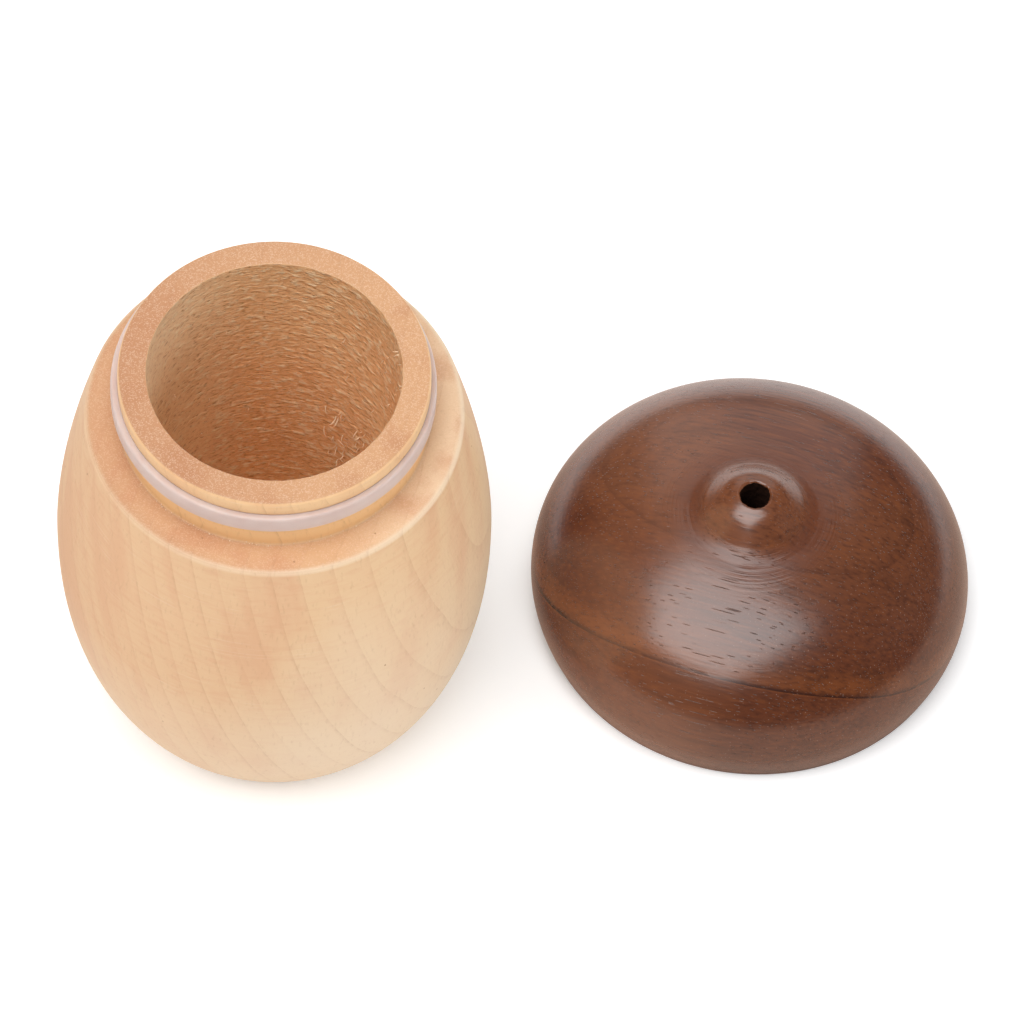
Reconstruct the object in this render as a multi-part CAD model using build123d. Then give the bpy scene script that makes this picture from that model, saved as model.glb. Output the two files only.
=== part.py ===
"""Acorn-shaped wooden shaker jar, shown open with its cap set down beside it.

Three turned or moulded pieces make the object. A maple jar has a straight bore and a neck. A silicone
seal ring is stretched into the groove of the neck. A walnut cap has a socket that pushes over the neck
and the ring, a hollow dome, and one small shaking hole through the nipple at its top.

Units are millimetres and +Z is up. The origin is the centre of the jar's flat base, and the cap stands
on the same surface, with its mouth down. Moving the cap by -CAP_PLACE and up by LEDGE_HEIGHT seats it.
"""

import os

from build123d import *

# ---- the jar's outside
JAR_HEIGHT = 66.7
NECK_HEIGHT = 9.1
LEDGE_HEIGHT = JAR_HEIGHT - NECK_HEIGHT
JAR_RADIUS = 26.82  # at its widest
JAR_WIDEST_AT = 33.2
JAR_LOWER_REACH = 40.1  # where the lower curve would close, below the widest height
JAR_LOWER_FULLNESS = 2.4  # 2 is an ellipse, and more is fuller
JAR_UPPER_REACH = 64.5
JAR_UPPER_FULLNESS = 1.577
BASE_EDGE_ROUND = 0.8
LEDGE_EDGE_ROUND = 1.0

# ---- the neck and what is cut in it
NECK_RADIUS = 19.0
NECK_TOP_ROUND = 0.6
NECK_ROOT_ROUND = 0.35
BORE_RADIUS = 15.55
BORE_FLOOR_HEIGHT = 6.0
BORE_FLOOR_ROUND = 5.0
BORE_EDGE_BREAK = 0.2
GROOVE_BELOW_TOP = 2.35
GROOVE_WIDTH = 2.7
GROOVE_DEPTH = 1.4

# ---- the seal ring
SEAL_PROUD = 0.75  # how far it stands out of the neck
SEAL_EDGE_ROUND = 0.25

# ---- the cap's outside, measured from its own mouth
CAP_RADIUS = 27.6
CAP_WIDEST_AT = 5.0
CAP_MOUTH_RADIUS = 26.4
CAP_LOWER_FULLNESS = 1.7
CAP_UPPER_REACH = 15.8
CAP_UPPER_FULLNESS = 2.2
CAP_MOUTH_EDGE_ROUND = 0.5
CAP_HEIGHT = 24.3
NIPPLE_FOOT_RADIUS = 8.4  # where the dome starts to sweep up into the nipple
NIPPLE_SIDE = ((7.7, 3.8), (7.0, 3.37), (5.4, 2.02), (3.9, 0.79))  # radius, depth below the top
NIPPLE_TOP_RADIUS = 2.15

# ---- the cap's inside
SOCKET_CLEARANCE = 0.5  # radial, between the socket and the neck
SOCKET_DEPTH = NECK_HEIGHT + 0.4
SOCKET_LEAD_IN = 0.3
DOME_RADIUS = 17.0
DOME_WALL_TOP = 11.0
DOME_ROOF_HEIGHT = 16.8
HOLE_RADIUS = 1.85
HOLE_EDGE_BREAK = 0.15

# ---- where the cap stands beside the jar
CAP_PLACE = (59.5, 11.45, 0.0)


def bulge(radius, widest_at, reach, fullness, height):
    """Radius of a turned side at a height: a superellipse about its widest height."""
    share = abs(height - widest_at) / reach
    return radius * (1 - share**fullness) ** (1 / fullness)


def jar_side(height):
    """A point of the jar's side, which is fuller below its widest height than above it."""
    reach, fullness = JAR_UPPER_REACH, JAR_UPPER_FULLNESS
    if height < JAR_WIDEST_AT:
        reach, fullness = JAR_LOWER_REACH, JAR_LOWER_FULLNESS
    return at(bulge(JAR_RADIUS, JAR_WIDEST_AT, reach, fullness, height), height)


def cap_side(height):
    """A point of the cap's side, which tucks in a little from its widest height to its mouth."""
    if height >= CAP_WIDEST_AT:
        radius = bulge(CAP_RADIUS, CAP_WIDEST_AT, CAP_UPPER_REACH, CAP_UPPER_FULLNESS, height)
        return at(radius, height)
    share = (CAP_WIDEST_AT - height) / CAP_WIDEST_AT
    return at(CAP_RADIUS - (CAP_RADIUS - CAP_MOUTH_RADIUS) * share**CAP_LOWER_FULLNESS, height)


def cap_dome(radius):
    """The same curve as cap_side above the widest height, asked for by radius."""
    share = (1 - (radius / CAP_RADIUS) ** CAP_UPPER_FULLNESS) ** (1 / CAP_UPPER_FULLNESS)
    return at(radius, CAP_WIDEST_AT + CAP_UPPER_REACH * share)


def at(radius, height):
    """A point of an outline, in the plane that is turned about Z."""
    return Vector(radius, 0, height)


def steps(first, last, count):
    """Evenly spaced values from first to last, both included."""
    return [first + (last - first) * i / (count - 1) for i in range(count)]


def polyline(*points):
    return [Line(a, b) for a, b in zip(points, points[1:])]


def rounded(start, end, corner):
    """The curve that rounds off a corner from start to end."""
    middle = (start + end) / 2
    return ThreePointArc(start, middle + (corner - middle) * 0.414, end)


def turned(edges):
    """The solid that a closed outline sweeps about Z."""
    return revolve(make_face(Wire(edges)), Axis.Z, 360)


def make_jar():
    """The maple jar: side, ledge, grooved neck and blind bore, turned in one piece."""
    side = [jar_side(z) for z in steps(BASE_EDGE_ROUND, LEDGE_HEIGHT - LEDGE_EDGE_ROUND, 12)]
    base_flat = at(side[0].X - BASE_EDGE_ROUND, 0)
    ledge_flat = at(side[-1].X - LEDGE_EDGE_ROUND, LEDGE_HEIGHT)
    outside = polyline(at(0, 0), base_flat)
    outside += [rounded(base_flat, side[0], at(side[0].X, 0))]
    outside += [Spline(side)]
    outside += [rounded(side[-1], ledge_flat, at(side[-1].X, LEDGE_HEIGHT))]

    root_out = at(NECK_RADIUS + NECK_ROOT_ROUND, LEDGE_HEIGHT)
    root_up = at(NECK_RADIUS, LEDGE_HEIGHT + NECK_ROOT_ROUND)
    groove_top = JAR_HEIGHT - GROOVE_BELOW_TOP
    groove_bottom = groove_top - GROOVE_WIDTH
    groove_floor = NECK_RADIUS - GROOVE_DEPTH
    lip_side = at(NECK_RADIUS, JAR_HEIGHT - NECK_TOP_ROUND)
    lip_top = at(NECK_RADIUS - NECK_TOP_ROUND, JAR_HEIGHT)
    neck = polyline(ledge_flat, root_out)
    neck += [rounded(root_out, root_up, at(NECK_RADIUS, LEDGE_HEIGHT))]
    neck += polyline(
        root_up,
        at(NECK_RADIUS, groove_bottom),
        at(groove_floor, groove_bottom),
        at(groove_floor, groove_top),
        at(NECK_RADIUS, groove_top),
        lip_side,
    )
    neck += [rounded(lip_side, lip_top, at(NECK_RADIUS, JAR_HEIGHT))]

    mouth_out = at(BORE_RADIUS + BORE_EDGE_BREAK, JAR_HEIGHT)
    mouth_in = at(BORE_RADIUS, JAR_HEIGHT - BORE_EDGE_BREAK)
    wall_foot = at(BORE_RADIUS, BORE_FLOOR_HEIGHT + BORE_FLOOR_ROUND)
    floor_edge = at(BORE_RADIUS - BORE_FLOOR_ROUND, BORE_FLOOR_HEIGHT)
    bore = polyline(lip_top, mouth_out, mouth_in, wall_foot)
    bore += [rounded(wall_foot, floor_edge, at(BORE_RADIUS, BORE_FLOOR_HEIGHT))]
    bore += polyline(floor_edge, at(0, BORE_FLOOR_HEIGHT), at(0, 0))
    return turned(outside + neck + bore)


def make_seal():
    """The silicone ring: a flat band that fills the groove and stands out of the neck."""
    top = JAR_HEIGHT - GROOVE_BELOW_TOP
    bottom = top - GROOVE_WIDTH
    inner = NECK_RADIUS - GROOVE_DEPTH
    outer = NECK_RADIUS + SEAL_PROUD
    flat = outer - SEAL_EDGE_ROUND
    band = polyline(at(flat, top), at(inner, top), at(inner, bottom), at(flat, bottom))
    band += [rounded(at(flat, bottom), at(outer, bottom + SEAL_EDGE_ROUND), at(outer, bottom))]
    band += polyline(at(outer, bottom + SEAL_EDGE_ROUND), at(outer, top - SEAL_EDGE_ROUND))
    band += [rounded(at(outer, top - SEAL_EDGE_ROUND), at(flat, top), at(outer, top))]
    return turned(band)


def make_cap():
    """The walnut cap: side, dome and nipple, the shaking hole, the hollow dome and the socket."""
    side = [cap_side(z) for z in steps(CAP_MOUTH_EDGE_ROUND, CAP_WIDEST_AT + 3, 5)]
    side += [cap_side(z) for z in steps(CAP_WIDEST_AT + 3, CAP_WIDEST_AT + 11, 6)[1:]]
    side += [cap_dome(r) for r in steps(side[-1].X, NIPPLE_FOOT_RADIUS, 4)[1:]]
    mouth_flat = at(side[0].X - CAP_MOUTH_EDGE_ROUND, 0)
    nipple = [side[-1]]
    nipple += [at(radius, CAP_HEIGHT - depth) for radius, depth in NIPPLE_SIDE]
    nipple += [at(NIPPLE_TOP_RADIUS, CAP_HEIGHT)]
    outside = [rounded(mouth_flat, side[0], at(side[0].X, 0)), Spline(side)]
    outside += [Spline(nipple, tangents=[side[-1] - side[-2], Vector(-1, 0, 0)])]

    hole_top = at(HOLE_RADIUS, CAP_HEIGHT - HOLE_EDGE_BREAK)
    roof_centre = at(HOLE_RADIUS, DOME_ROOF_HEIGHT)
    roof_edge = at(DOME_RADIUS, DOME_WALL_TOP)
    roof_rise = DOME_ROOF_HEIGHT - DOME_WALL_TOP
    roof_middle = at(DOME_RADIUS * 0.72, DOME_WALL_TOP + roof_rise * 0.62)
    hole = polyline(nipple[-1], at(HOLE_RADIUS + HOLE_EDGE_BREAK, CAP_HEIGHT), hole_top, roof_centre)
    roof = [ThreePointArc(roof_centre, roof_middle, roof_edge)]
    socket_radius = NECK_RADIUS + SOCKET_CLEARANCE
    socket = polyline(
        roof_edge,
        at(DOME_RADIUS, SOCKET_DEPTH),
        at(socket_radius, SOCKET_DEPTH),
        at(socket_radius, SOCKET_LEAD_IN),
        at(socket_radius + SOCKET_LEAD_IN, 0),
        mouth_flat,
    )
    return Pos(*CAP_PLACE) * turned(outside + hole + roof + socket)


PARTS = {"maple_jar": make_jar, "seal_ring": make_seal, "walnut_cap": make_cap}

os.makedirs("parts", exist_ok=True)
for name, make in PARTS.items():
    export_step(make(), f"parts/{name}.step")
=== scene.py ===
# %% [markdown]
# # An acorn-shaped shaker jar, turned in maple and walnut
#
# This notebook gives three turned pieces their looks: a maple jar with a rough bore, a silicone
# seal ring in the groove of its neck, and a walnut cap that stands beside it. Every size comes
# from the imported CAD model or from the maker's own formulas, in metres, with +Z up.

import math

import bpy
from mathutils import Matrix, Vector


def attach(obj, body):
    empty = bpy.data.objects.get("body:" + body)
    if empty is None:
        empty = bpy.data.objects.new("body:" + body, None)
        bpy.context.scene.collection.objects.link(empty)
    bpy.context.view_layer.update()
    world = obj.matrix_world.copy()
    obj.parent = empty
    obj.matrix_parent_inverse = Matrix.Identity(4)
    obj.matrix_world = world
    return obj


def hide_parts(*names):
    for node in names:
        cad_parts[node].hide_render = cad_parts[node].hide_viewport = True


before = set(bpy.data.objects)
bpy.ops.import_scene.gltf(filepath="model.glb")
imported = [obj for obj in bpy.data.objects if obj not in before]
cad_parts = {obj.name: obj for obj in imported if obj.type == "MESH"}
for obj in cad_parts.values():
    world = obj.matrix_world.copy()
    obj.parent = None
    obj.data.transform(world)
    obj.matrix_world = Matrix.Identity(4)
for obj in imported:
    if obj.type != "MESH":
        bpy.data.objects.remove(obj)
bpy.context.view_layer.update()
MM = 0.001

# %% [markdown]
# ## The camera
#
# A product photographer stands back and uses a very long lens, so that round things stay round.
# The camera is placed from an aim point between the jar and the cap, a distance, a height angle
# and a slight roll. A longer lens at a longer distance would look almost the same.

# %% Camera
CAMERA_AIM = Vector((0.02928, 0.01033, 0.020))
CAMERA_DISTANCE = 1.3497
CAMERA_ELEVATION = math.radians(58.05)
CAMERA_ROLL = math.radians(2.025)
CAMERA_LENS = 379.7


def place_camera():
    """Makes the scene's camera, which looks along +Y and down."""
    ahead = Vector((0, math.cos(CAMERA_ELEVATION), -math.sin(CAMERA_ELEVATION)))
    level_up = Vector((0, math.sin(CAMERA_ELEVATION), math.cos(CAMERA_ELEVATION)))
    roll_cos, roll_sin = math.cos(CAMERA_ROLL), math.sin(CAMERA_ROLL)
    right = Vector((1, 0, 0)) * roll_cos + level_up * roll_sin
    up = level_up * roll_cos - Vector((1, 0, 0)) * roll_sin
    turn = Matrix((right, up, -ahead)).transposed().to_4x4()
    data = bpy.data.cameras.new("camera")
    data.lens = CAMERA_LENS
    data.sensor_width = 36
    camera = bpy.data.objects.new("camera", data)
    bpy.context.collection.objects.link(camera)
    camera.matrix_world = Matrix.Translation(CAMERA_AIM - ahead * CAMERA_DISTANCE) @ turn
    bpy.context.scene.camera = camera
    return camera


print("camera at", tuple(round(v, 3) for v in place_camera().matrix_world.translation))

# %% [markdown]
# ## Node helpers
#
# Both kinds of node tree in this notebook, the ones that make shapes and the ones that make
# finishes, are long chains of small nodes. A few helpers keep the chains short to read: `put`
# adds any node and fills its inputs, `calc` and `vector_calc` add the two kinds of Math node,
# `times` multiplies, `between` turns a range into 0 to 1, and `xyz` and `split` join and part
# the three numbers of a vector.

# %% Helpers that add nodes


def put(tree, kind, inputs=None, **settings):
    """Adds a node. Each input is given a plain value or linked from another node's output."""
    new = tree.nodes.new(kind)
    for name, value in settings.items():
        setattr(new, name, value)
    for name, value in (inputs or {}).items():
        if isinstance(value, bpy.types.NodeSocket):
            tree.links.new(value, new.inputs[name])
        else:
            new.inputs[name].default_value = value
    return new


def calc(tree, operation, *values, clamp=False):
    """Adds a Math node and returns its result."""
    inputs = dict(enumerate(values))
    return put(tree, "ShaderNodeMath", inputs, operation=operation, use_clamp=clamp).outputs[0]


def xyz(tree, x, y, z):
    """Joins three numbers into a vector."""
    return put(tree, "ShaderNodeCombineXYZ", {0: x, 1: y, 2: z}).outputs[0]


def split(tree, vector):
    """The x, y and z of a vector."""
    return put(tree, "ShaderNodeSeparateXYZ", {0: vector}).outputs


def vector_calc(tree, operation, first, second):
    """Adds a Vector Math node that works on two vectors, and returns its result."""
    return put(tree, "ShaderNodeVectorMath", {0: first, 1: second}, operation=operation).outputs[0]


def times(tree, *values):
    """The product of two or more values."""
    product = values[0]
    for value in values[1:]:
        product = calc(tree, "MULTIPLY", product, value)
    return product


def between(tree, value, low, high):
    """0 at low, 1 at high and a straight rise between them. Low may be the larger of the two."""
    return put(tree, "ShaderNodeMapRange", {"Value": value, "From Min": low, "From Max": high}).outputs[0]


def distance_from_axis(tree, x, y):
    """How far a point is from the Z axis, from its x and y."""
    return put(tree, "ShaderNodeVectorMath", {0: xyz(tree, x, y, 0)}, operation="LENGTH").outputs["Value"]


def group_tree(name, kind, inputs, outputs):
    """A new node tree with named sockets, with its input and output nodes."""
    tree = bpy.data.node_groups.new(name, kind)
    for label, socket, value in inputs:
        made = tree.interface.new_socket(name=label, in_out="INPUT", socket_type=socket)
        if value is not None:
            made.default_value = value
    for label, socket in outputs:
        tree.interface.new_socket(name=label, in_out="OUTPUT", socket_type=socket)
    return tree, tree.nodes.new("NodeGroupInput").outputs, tree.nodes.new("NodeGroupOutput").inputs


FLOAT, VECTOR, INT = "NodeSocketFloat", "NodeSocketVector", "NodeSocketInt"
GEOMETRY, MATERIAL = "NodeSocketGeometry", "NodeSocketMaterial"

# %% [markdown]
# ## Wood, in three shared effects
#
# Wood is a solid: its rings, pores and colours run right through, and turning only uncovers them.
# So the pattern is made in space, not on the surface. The first effect is the growth rings. They
# are tubes about the heart of the tree, so the distance from that line, counted in rings, says
# which ring a point is in, and the last part of each ring is a thin dark line.

# %% Growth rings


def growth_rings_group():
    """Dark lines where tubes about the Z axis of the wood come to the surface."""
    tree, given, result = group_tree(
        "growth_rings",
        "ShaderNodeTree",
        [
            ("Vector", VECTOR, None),
            ("Spacing", FLOAT, 0.004),
            ("First Ring", FLOAT, 0.0),
            ("Line Share", FLOAT, 0.2),
            ("Wobble", FLOAT, 0.001),
            ("Wobble Scale", FLOAT, 60.0),
        ],
        [("Line", FLOAT), ("Count", FLOAT)],
    )
    squeezed = vector_calc(tree, "MULTIPLY", given["Vector"], (1, 1, 0.25))
    look = {"Vector": squeezed, "Scale": given["Wobble Scale"], "Detail": 2.0}
    noise = put(tree, "ShaderNodeTexNoise", look).outputs[0]
    wobble = times(tree, calc(tree, "SUBTRACT", noise, 0.5), given["Wobble"])
    x, y, _ = split(tree, given["Vector"])
    reach = calc(tree, "ADD", distance_from_axis(tree, x, y), wobble)
    count = calc(tree, "DIVIDE", calc(tree, "SUBTRACT", reach, given["First Ring"]), given["Spacing"])
    number = calc(tree, "FLOOR", count)
    chance = put(tree, "ShaderNodeTexWhiteNoise", {"W": number}, noise_dimensions="1D").outputs[0]
    strength = calc(tree, "MULTIPLY_ADD", chance, 0.8, 0.2)
    before = calc(tree, "SUBTRACT", 1.0, given["Line Share"])
    rise = between(tree, calc(tree, "FRACT", count), before, 1.0)
    line = times(tree, calc(tree, "POWER", rise, 2.0), strength)
    tree.links.new(line, result["Line"])
    tree.links.new(count, result["Count"])
    return tree


growth_rings = growth_rings_group()
print("growth_rings has", len(growth_rings.nodes), "nodes")

# %% [markdown]
# The second effect is the pores: thin tubes along the grain. Cut across they are dots, and cut
# along they are dashes. A Voronoi texture gives a cell to each pore, and stretching space along
# the grain makes each cell a tube. Only some of the cells hold a pore.

# %% Pores


def pores_group():
    """Thin tubes along the Z axis of the wood: 1 in a pore and 0 outside."""
    tree, given, result = group_tree(
        "pores",
        "ShaderNodeTree",
        [
            ("Vector", VECTOR, None),
            ("Cell", FLOAT, 0.001),
            ("Stretch", FLOAT, 12.0),
            ("Share", FLOAT, 0.4),
            ("Width", FLOAT, 0.25),
        ],
        [("Mask", FLOAT)],
    )
    long_cell = times(tree, given["Cell"], given["Stretch"])
    cell = xyz(tree, given["Cell"], given["Cell"], long_cell)
    scaled = vector_calc(tree, "DIVIDE", given["Vector"], cell)
    cells = put(tree, "ShaderNodeTexVoronoi", {"Vector": scaled, "Scale": 1.0}).outputs
    chosen = calc(tree, "LESS_THAN", split(tree, cells["Color"])[0], given["Share"])
    core = between(tree, cells["Distance"], given["Width"], times(tree, given["Width"], 0.5))
    tree.links.new(times(tree, core, chosen), result["Mask"])
    return tree


pores = pores_group()
print("pores has", len(pores.nodes), "nodes")

# %% [markdown]
# The third effect is the fine lines that a lathe tool and sandpaper leave. The work spins, so a
# scratch goes all the way round: the pattern depends on the distance from the lathe's axis and
# on the height, and never on the angle. A second noise breaks the lines up so they aren't perfect.

# %% Turning lines


def turning_lines_group():
    """Fine scratches that run round the lathe's axis, about 0.5 on average."""
    tree, given, result = group_tree(
        "turning_lines",
        "ShaderNodeTree",
        [("Vector", VECTOR, None), ("Pitch", FLOAT, 0.0003)],
        [("Height", FLOAT)],
    )
    x, y, z = split(tree, given["Vector"])
    spot = xyz(tree, distance_from_axis(tree, x, y), z, 0)
    per_metre = calc(tree, "DIVIDE", 1.0, given["Pitch"])
    lines = put(tree, "ShaderNodeTexNoise", {"Vector": spot, "Scale": per_metre, "Detail": 3.0})
    patches = put(tree, "ShaderNodeTexNoise", {"Vector": given["Vector"], "Scale": 220.0})
    broken = between(tree, patches.outputs[0], 0.4, 0.65)
    swing = calc(tree, "SUBTRACT", lines.outputs[0], 0.5)
    height = calc(tree, "MULTIPLY_ADD", swing, broken, 0.5)
    tree.links.new(height, result["Height"])
    return tree


turning_lines = turning_lines_group()
print("turning_lines has", len(turning_lines.nodes), "nodes")

# %% [markdown]
# ## Finishes
#
# Each finish is one Principled shader with the shared effects placed in it with its own numbers.
# A Mapping node moves and tilts the object's space so that its Z axis lies along the grain and
# passes through the heart of the tree.

# %% Helpers for finishes
# The places of a Mix node's sockets when it mixes colours.
MIX_AMOUNT, MIX_BASE, MIX_OVER, MIX_RESULT = 0, 6, 7, 2


def finish(name, fixed):
    """A new material with one Principled shader that has its fixed values: (material, tree)."""
    material = bpy.data.materials.new(name)
    material.use_nodes = True
    for label, value in fixed.items():
        material.node_tree.nodes["Principled BSDF"].inputs[label].default_value = value
    return material, material.node_tree


def feed(tree, outputs):
    """Links what a tree has worked out to the Principled shader's inputs, by their names."""
    for label, output in outputs.items():
        tree.links.new(output, tree.nodes["Principled BSDF"].inputs[label])


def rings_at(tree, space, sizes):
    """The growth rings in a space: how much of a line there is, and the count of rings."""
    return put(tree, "ShaderNodeGroup", {"Vector": space, **sizes}, node_tree=growth_rings).outputs


def pores_at(tree, space, sizes):
    """A mask of the pores in a space."""
    return put(tree, "ShaderNodeGroup", {"Vector": space, **sizes}, node_tree=pores).outputs["Mask"]


def turned_at(tree, space, pitch):
    """The height of the turning lines in a space."""
    sizes = {"Vector": space, "Pitch": pitch}
    return put(tree, "ShaderNodeGroup", sizes, node_tree=turning_lines).outputs["Height"]


def own_space(tree):
    """The object's own coordinates, in metres."""
    return put(tree, "ShaderNodeTexCoord").outputs["Object"]


def wood_space(tree, heart, grain):
    """Object coordinates moved to the heart of the tree, with Z along the grain."""
    turn = Vector(grain).to_track_quat("Z", "Y").to_euler()
    place = {"Vector": own_space(tree), "Location": heart, "Rotation": turn}
    return put(tree, "ShaderNodeMapping", place, vector_type="TEXTURE").outputs[0]


def tint(tree, base, colour, amount):
    """Mixes a colour over another by an amount, and returns the result."""
    inputs = {MIX_AMOUNT: amount, MIX_BASE: base, MIX_OVER: colour}
    return put(tree, "ShaderNodeMix", inputs, data_type="RGBA").outputs[MIX_RESULT]


def coat(tree, base, colour, mask, strength):
    """Lays a colour over another where a mask is 1, at a strength."""
    return tint(tree, base, colour, times(tree, mask, strength))


def noise_at(tree, space, scale, stretch=(1, 1, 1), detail=2.0):
    """Noise in a space that is first multiplied by stretch."""
    scaled = vector_calc(tree, "MULTIPLY", space, stretch)
    look = {"Vector": scaled, "Scale": scale, "Detail": detail}
    return put(tree, "ShaderNodeTexNoise", look).outputs[0]


def bump(tree, height, depth, below=None):
    """Turns a height into a normal. depth is in metres for a height of 1."""
    inputs = {"Height": height, "Strength": 1.0, "Distance": depth}
    if below is not None:
        inputs["Normal"] = below
    return put(tree, "ShaderNodeBump", inputs).outputs[0]


# %% [markdown]
# ### Maple
#
# Maple is pale and even. Its rings are thin brown lines about 3 mm apart, and its colour drifts
# between cream and salmon in streaks along the grain. The end grain, on the neck's top and on the
# ledge, is a tone darker and full of light specks, and how far up the surface faces decides where
# it shows. The sides of the neck are amber: their own honey tone, painted brighter to lift their
# shade. The ledge's rounded edge has a painted pale highlight line, and the side is paler towards
# the lower right, partly its own tone and partly painted light from the white floor. The heart of
# the tree is far to the jar's left, and the grain leans, so the rings run down the jar's front as
# lines that sweep to the right lower down.

# %% Maple's colours
MAPLE_HEART = (-0.1108, 0.0215, 0.0332)
MAPLE_GRAIN = (-0.153, 0.362, 1.0)
MAPLE_CREAM = (0.80, 0.545, 0.315, 1)
MAPLE_SALMON = (0.72, 0.395, 0.225, 1)
MAPLE_PALE_AND_PAINTED_LIGHT = (0.84, 0.68, 0.50, 1)
MAPLE_HONEY = (0.62, 0.325, 0.160, 1)
MAPLE_ROSE = (0.48, 0.205, 0.095, 1)
MAPLE_AMBER_AND_FILL_LIGHT = (0.99, 0.62, 0.30, 1)
MAPLE_LINE = (0.40, 0.19, 0.085, 1)
MAPLE_SPECK = (0.92, 0.72, 0.56, 1)
MAPLE_RINGS = {
    "Spacing": 0.0031,
    "First Ring": 0.1004,
    "Line Share": 0.2,
    "Wobble": 0.0022,
    "Wobble Scale": 55.0,
}
MAPLE_SPECKS = {"Cell": 0.00015, "Stretch": 5.0, "Share": 0.5, "Width": 0.6}
MAPLE_FLECKS = {"Cell": 0.0016, "Stretch": 1.4, "Share": 0.05, "Width": 0.10}
MAPLE_SCRATCHES = 0.00028

# Heights on the jar: the ledge, three places up the neck, and the painted highlight line below the ledge.
LEDGE_Z = 0.0576
NECK_LOW, NECK_MIDDLE, NECK_HIGH = 0.0580, 0.0600, 0.0640
EDGE_HIGHLIGHT_START, EDGE_HIGHLIGHT_FULL, EDGE_HIGHLIGHT_FADES, EDGE_HIGHLIGHT_END = 0.0568, 0.0572, 0.05745, 0.05758


def facing_up(tree, low, high):
    """0 where the surface is upright and 1 where it lies flat, either way up."""
    normal = put(tree, "ShaderNodeNewGeometry").outputs["True Normal"]
    return between(tree, calc(tree, "ABSOLUTE", split(tree, normal)[2]), low, high)


def maple_rings(tree, space):
    """The growth rings: their thin lines, in short runs, and the broad tone before each."""
    rings = rings_at(tree, space, MAPLE_RINGS)
    broken = between(tree, noise_at(tree, space, 1500.0, (1, 1, 0.4)), 0.42, 0.62)
    line = times(tree, rings["Line"], calc(tree, "MULTIPLY_ADD", broken, 0.75, 0.25))
    share = calc(tree, "FRACT", rings["Count"])
    return line, times(tree, share, share)


def maple_side(tree, own, left, streaks, band):
    """The side's colour: cream, with salmon in streaks, in ripples and towards the left."""
    salmon = calc(tree, "MULTIPLY_ADD", left, 0.4, between(tree, streaks, 0.5, 0.72))
    salmon = calc(tree, "MULTIPLY_ADD", band, 0.3, salmon)
    ripples = between(tree, noise_at(tree, own, 330.0, (1, 1, 4.5), 3.0), 0.48, 0.7)
    salmon = calc(tree, "MULTIPLY_ADD", ripples, 0.4, salmon, clamp=True)
    return coat(tree, MAPLE_CREAM, MAPLE_SALMON, salmon, 0.7)


def maple_end_grain(tree, x, left, streaks, on_ledge):
    """The end grain's colour: honey, rosier on the left, and pale on the right of the ledge."""
    end = coat(tree, MAPLE_HONEY, MAPLE_ROSE, left, 0.9)
    pale = times(tree, between(tree, x, 0.008, 0.020), on_ledge)
    end = tint(tree, end, MAPLE_PALE_AND_PAINTED_LIGHT, calc(tree, "MULTIPLY_ADD", pale, 0.6, 0.05))
    return coat(tree, end, MAPLE_ROSE, between(tree, streaks, 0.5, 0.7), 0.5)


def maple_neck(tree, colour, z, left, flat, on_ledge):
    """Neck sides amber, partly painted light over their shade; a painted highlight on the ledge's edge.
    """
    above = between(tree, z, LEDGE_Z, NECK_LOW)
    # Painted light: a bright amber on the neck's sides, over their own honey tone, lifts their shade.
    sides = times(tree, above, between(tree, flat, 0.5, 0.2))
    amber = calc(tree, "MULTIPLY_ADD", on_ledge, 0.5, 0.4)
    colour = coat(tree, colour, MAPLE_AMBER_AND_FILL_LIGHT, sides, amber)
    # Painted highlight: a pale line along the ledge's rounded edge, weaker on the left.
    start = between(tree, z, EDGE_HIGHLIGHT_START, EDGE_HIGHLIGHT_FULL)
    edge = times(tree, start, between(tree, z, EDGE_HIGHLIGHT_END, EDGE_HIGHLIGHT_FADES))
    return coat(tree, colour, MAPLE_PALE_AND_PAINTED_LIGHT, edge, calc(tree, "MULTIPLY_ADD", left, -0.45, 0.6))


def maple_colour(tree, space, own):
    """The colour of the maple at a point of the wood, and how much it is end grain."""
    streaks = noise_at(tree, space, 170.0, (1, 1, 0.1), 3.0)
    patches = noise_at(tree, space, 45.0, (1, 1, 0.35))
    x, _, z = split(tree, own)
    waves = times(tree, calc(tree, "SUBTRACT", patches, 0.5), 0.05)
    left = between(tree, calc(tree, "ADD", x, waves), 0.014, -0.026)
    line, band = maple_rings(tree, space)
    side = maple_side(tree, own, left, streaks, band)
    # Painted light: the side is paler towards the lower right, partly its own tone and partly the white
    # floor's light bounced up.
    slope = calc(tree, "SUBTRACT", times(tree, x, 0.6), z)
    paler_and_floor_lit = between(tree, calc(tree, "ADD", slope, waves), -0.045, 0.0)
    side = coat(tree, side, MAPLE_PALE_AND_PAINTED_LIGHT, paler_and_floor_lit, 0.9)
    on_ledge = between(tree, z, NECK_HIGH, NECK_MIDDLE)
    on_neck = between(tree, z, NECK_LOW, NECK_HIGH)
    end_share = calc(tree, "MULTIPLY_ADD", on_neck, 0.35, 0.65)
    flat = times(tree, facing_up(tree, 0.6, 0.97), end_share)
    colour = tint(tree, side, maple_end_grain(tree, x, left, streaks, on_ledge), flat)
    colour = maple_neck(tree, colour, z, left, flat, on_ledge)
    return coat(tree, colour, MAPLE_LINE, line, 0.27), flat


# %% Maple finish


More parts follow.
